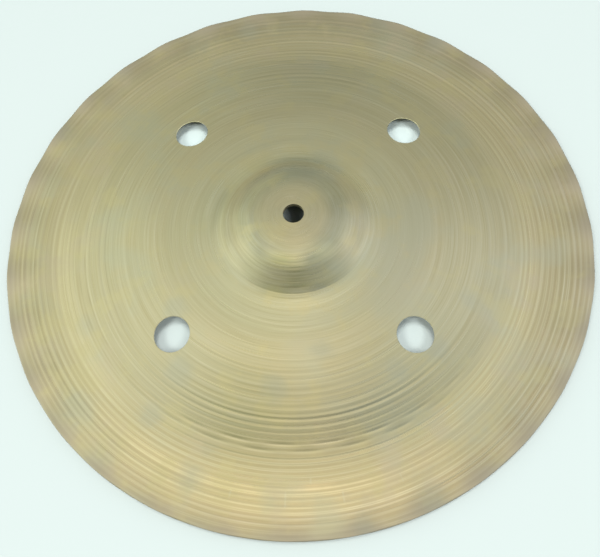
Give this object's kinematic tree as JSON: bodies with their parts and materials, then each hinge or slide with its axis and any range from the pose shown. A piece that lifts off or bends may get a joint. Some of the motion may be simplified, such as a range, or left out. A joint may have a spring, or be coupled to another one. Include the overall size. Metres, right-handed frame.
{
  "type": "hi-hat cymbals",
  "caption": "Pair of lathed bronze hi-hat cymbals, nested bell up: a 14 in cymbal with a waved rim and round vents over its plain-edged 12 in partner.",
  "frame": {"origin": "on the cymbals' common axis, on the plane that the 12 in partner's rim rests on", "axes": "+Z along the common axis, out of the bells; the vents are at 45, 135, 225 and 315 degrees from +X"},
  "size_m": [0.3556, 0.3556, 0.025],
  "materials": {
    "bronze_lathed": "lathed, satin, lightly tarnished",
    "bronze_lathed_partner": "lathed, satin"
  },
  "bodies": {
    "partner": {"partner_cymbal_12in": "bronze_lathed_partner"},
    "wave_cymbal": {"wave_edge_cymbal_14in": "bronze_lathed"}
  },
  "joints": [
    {"name": "cymbal_lift", "type": "slide", "parent": "partner", "child": "wave_cymbal", "axis": [0, 0, 1], "range_m": [0, 0.05]}
  ]
}
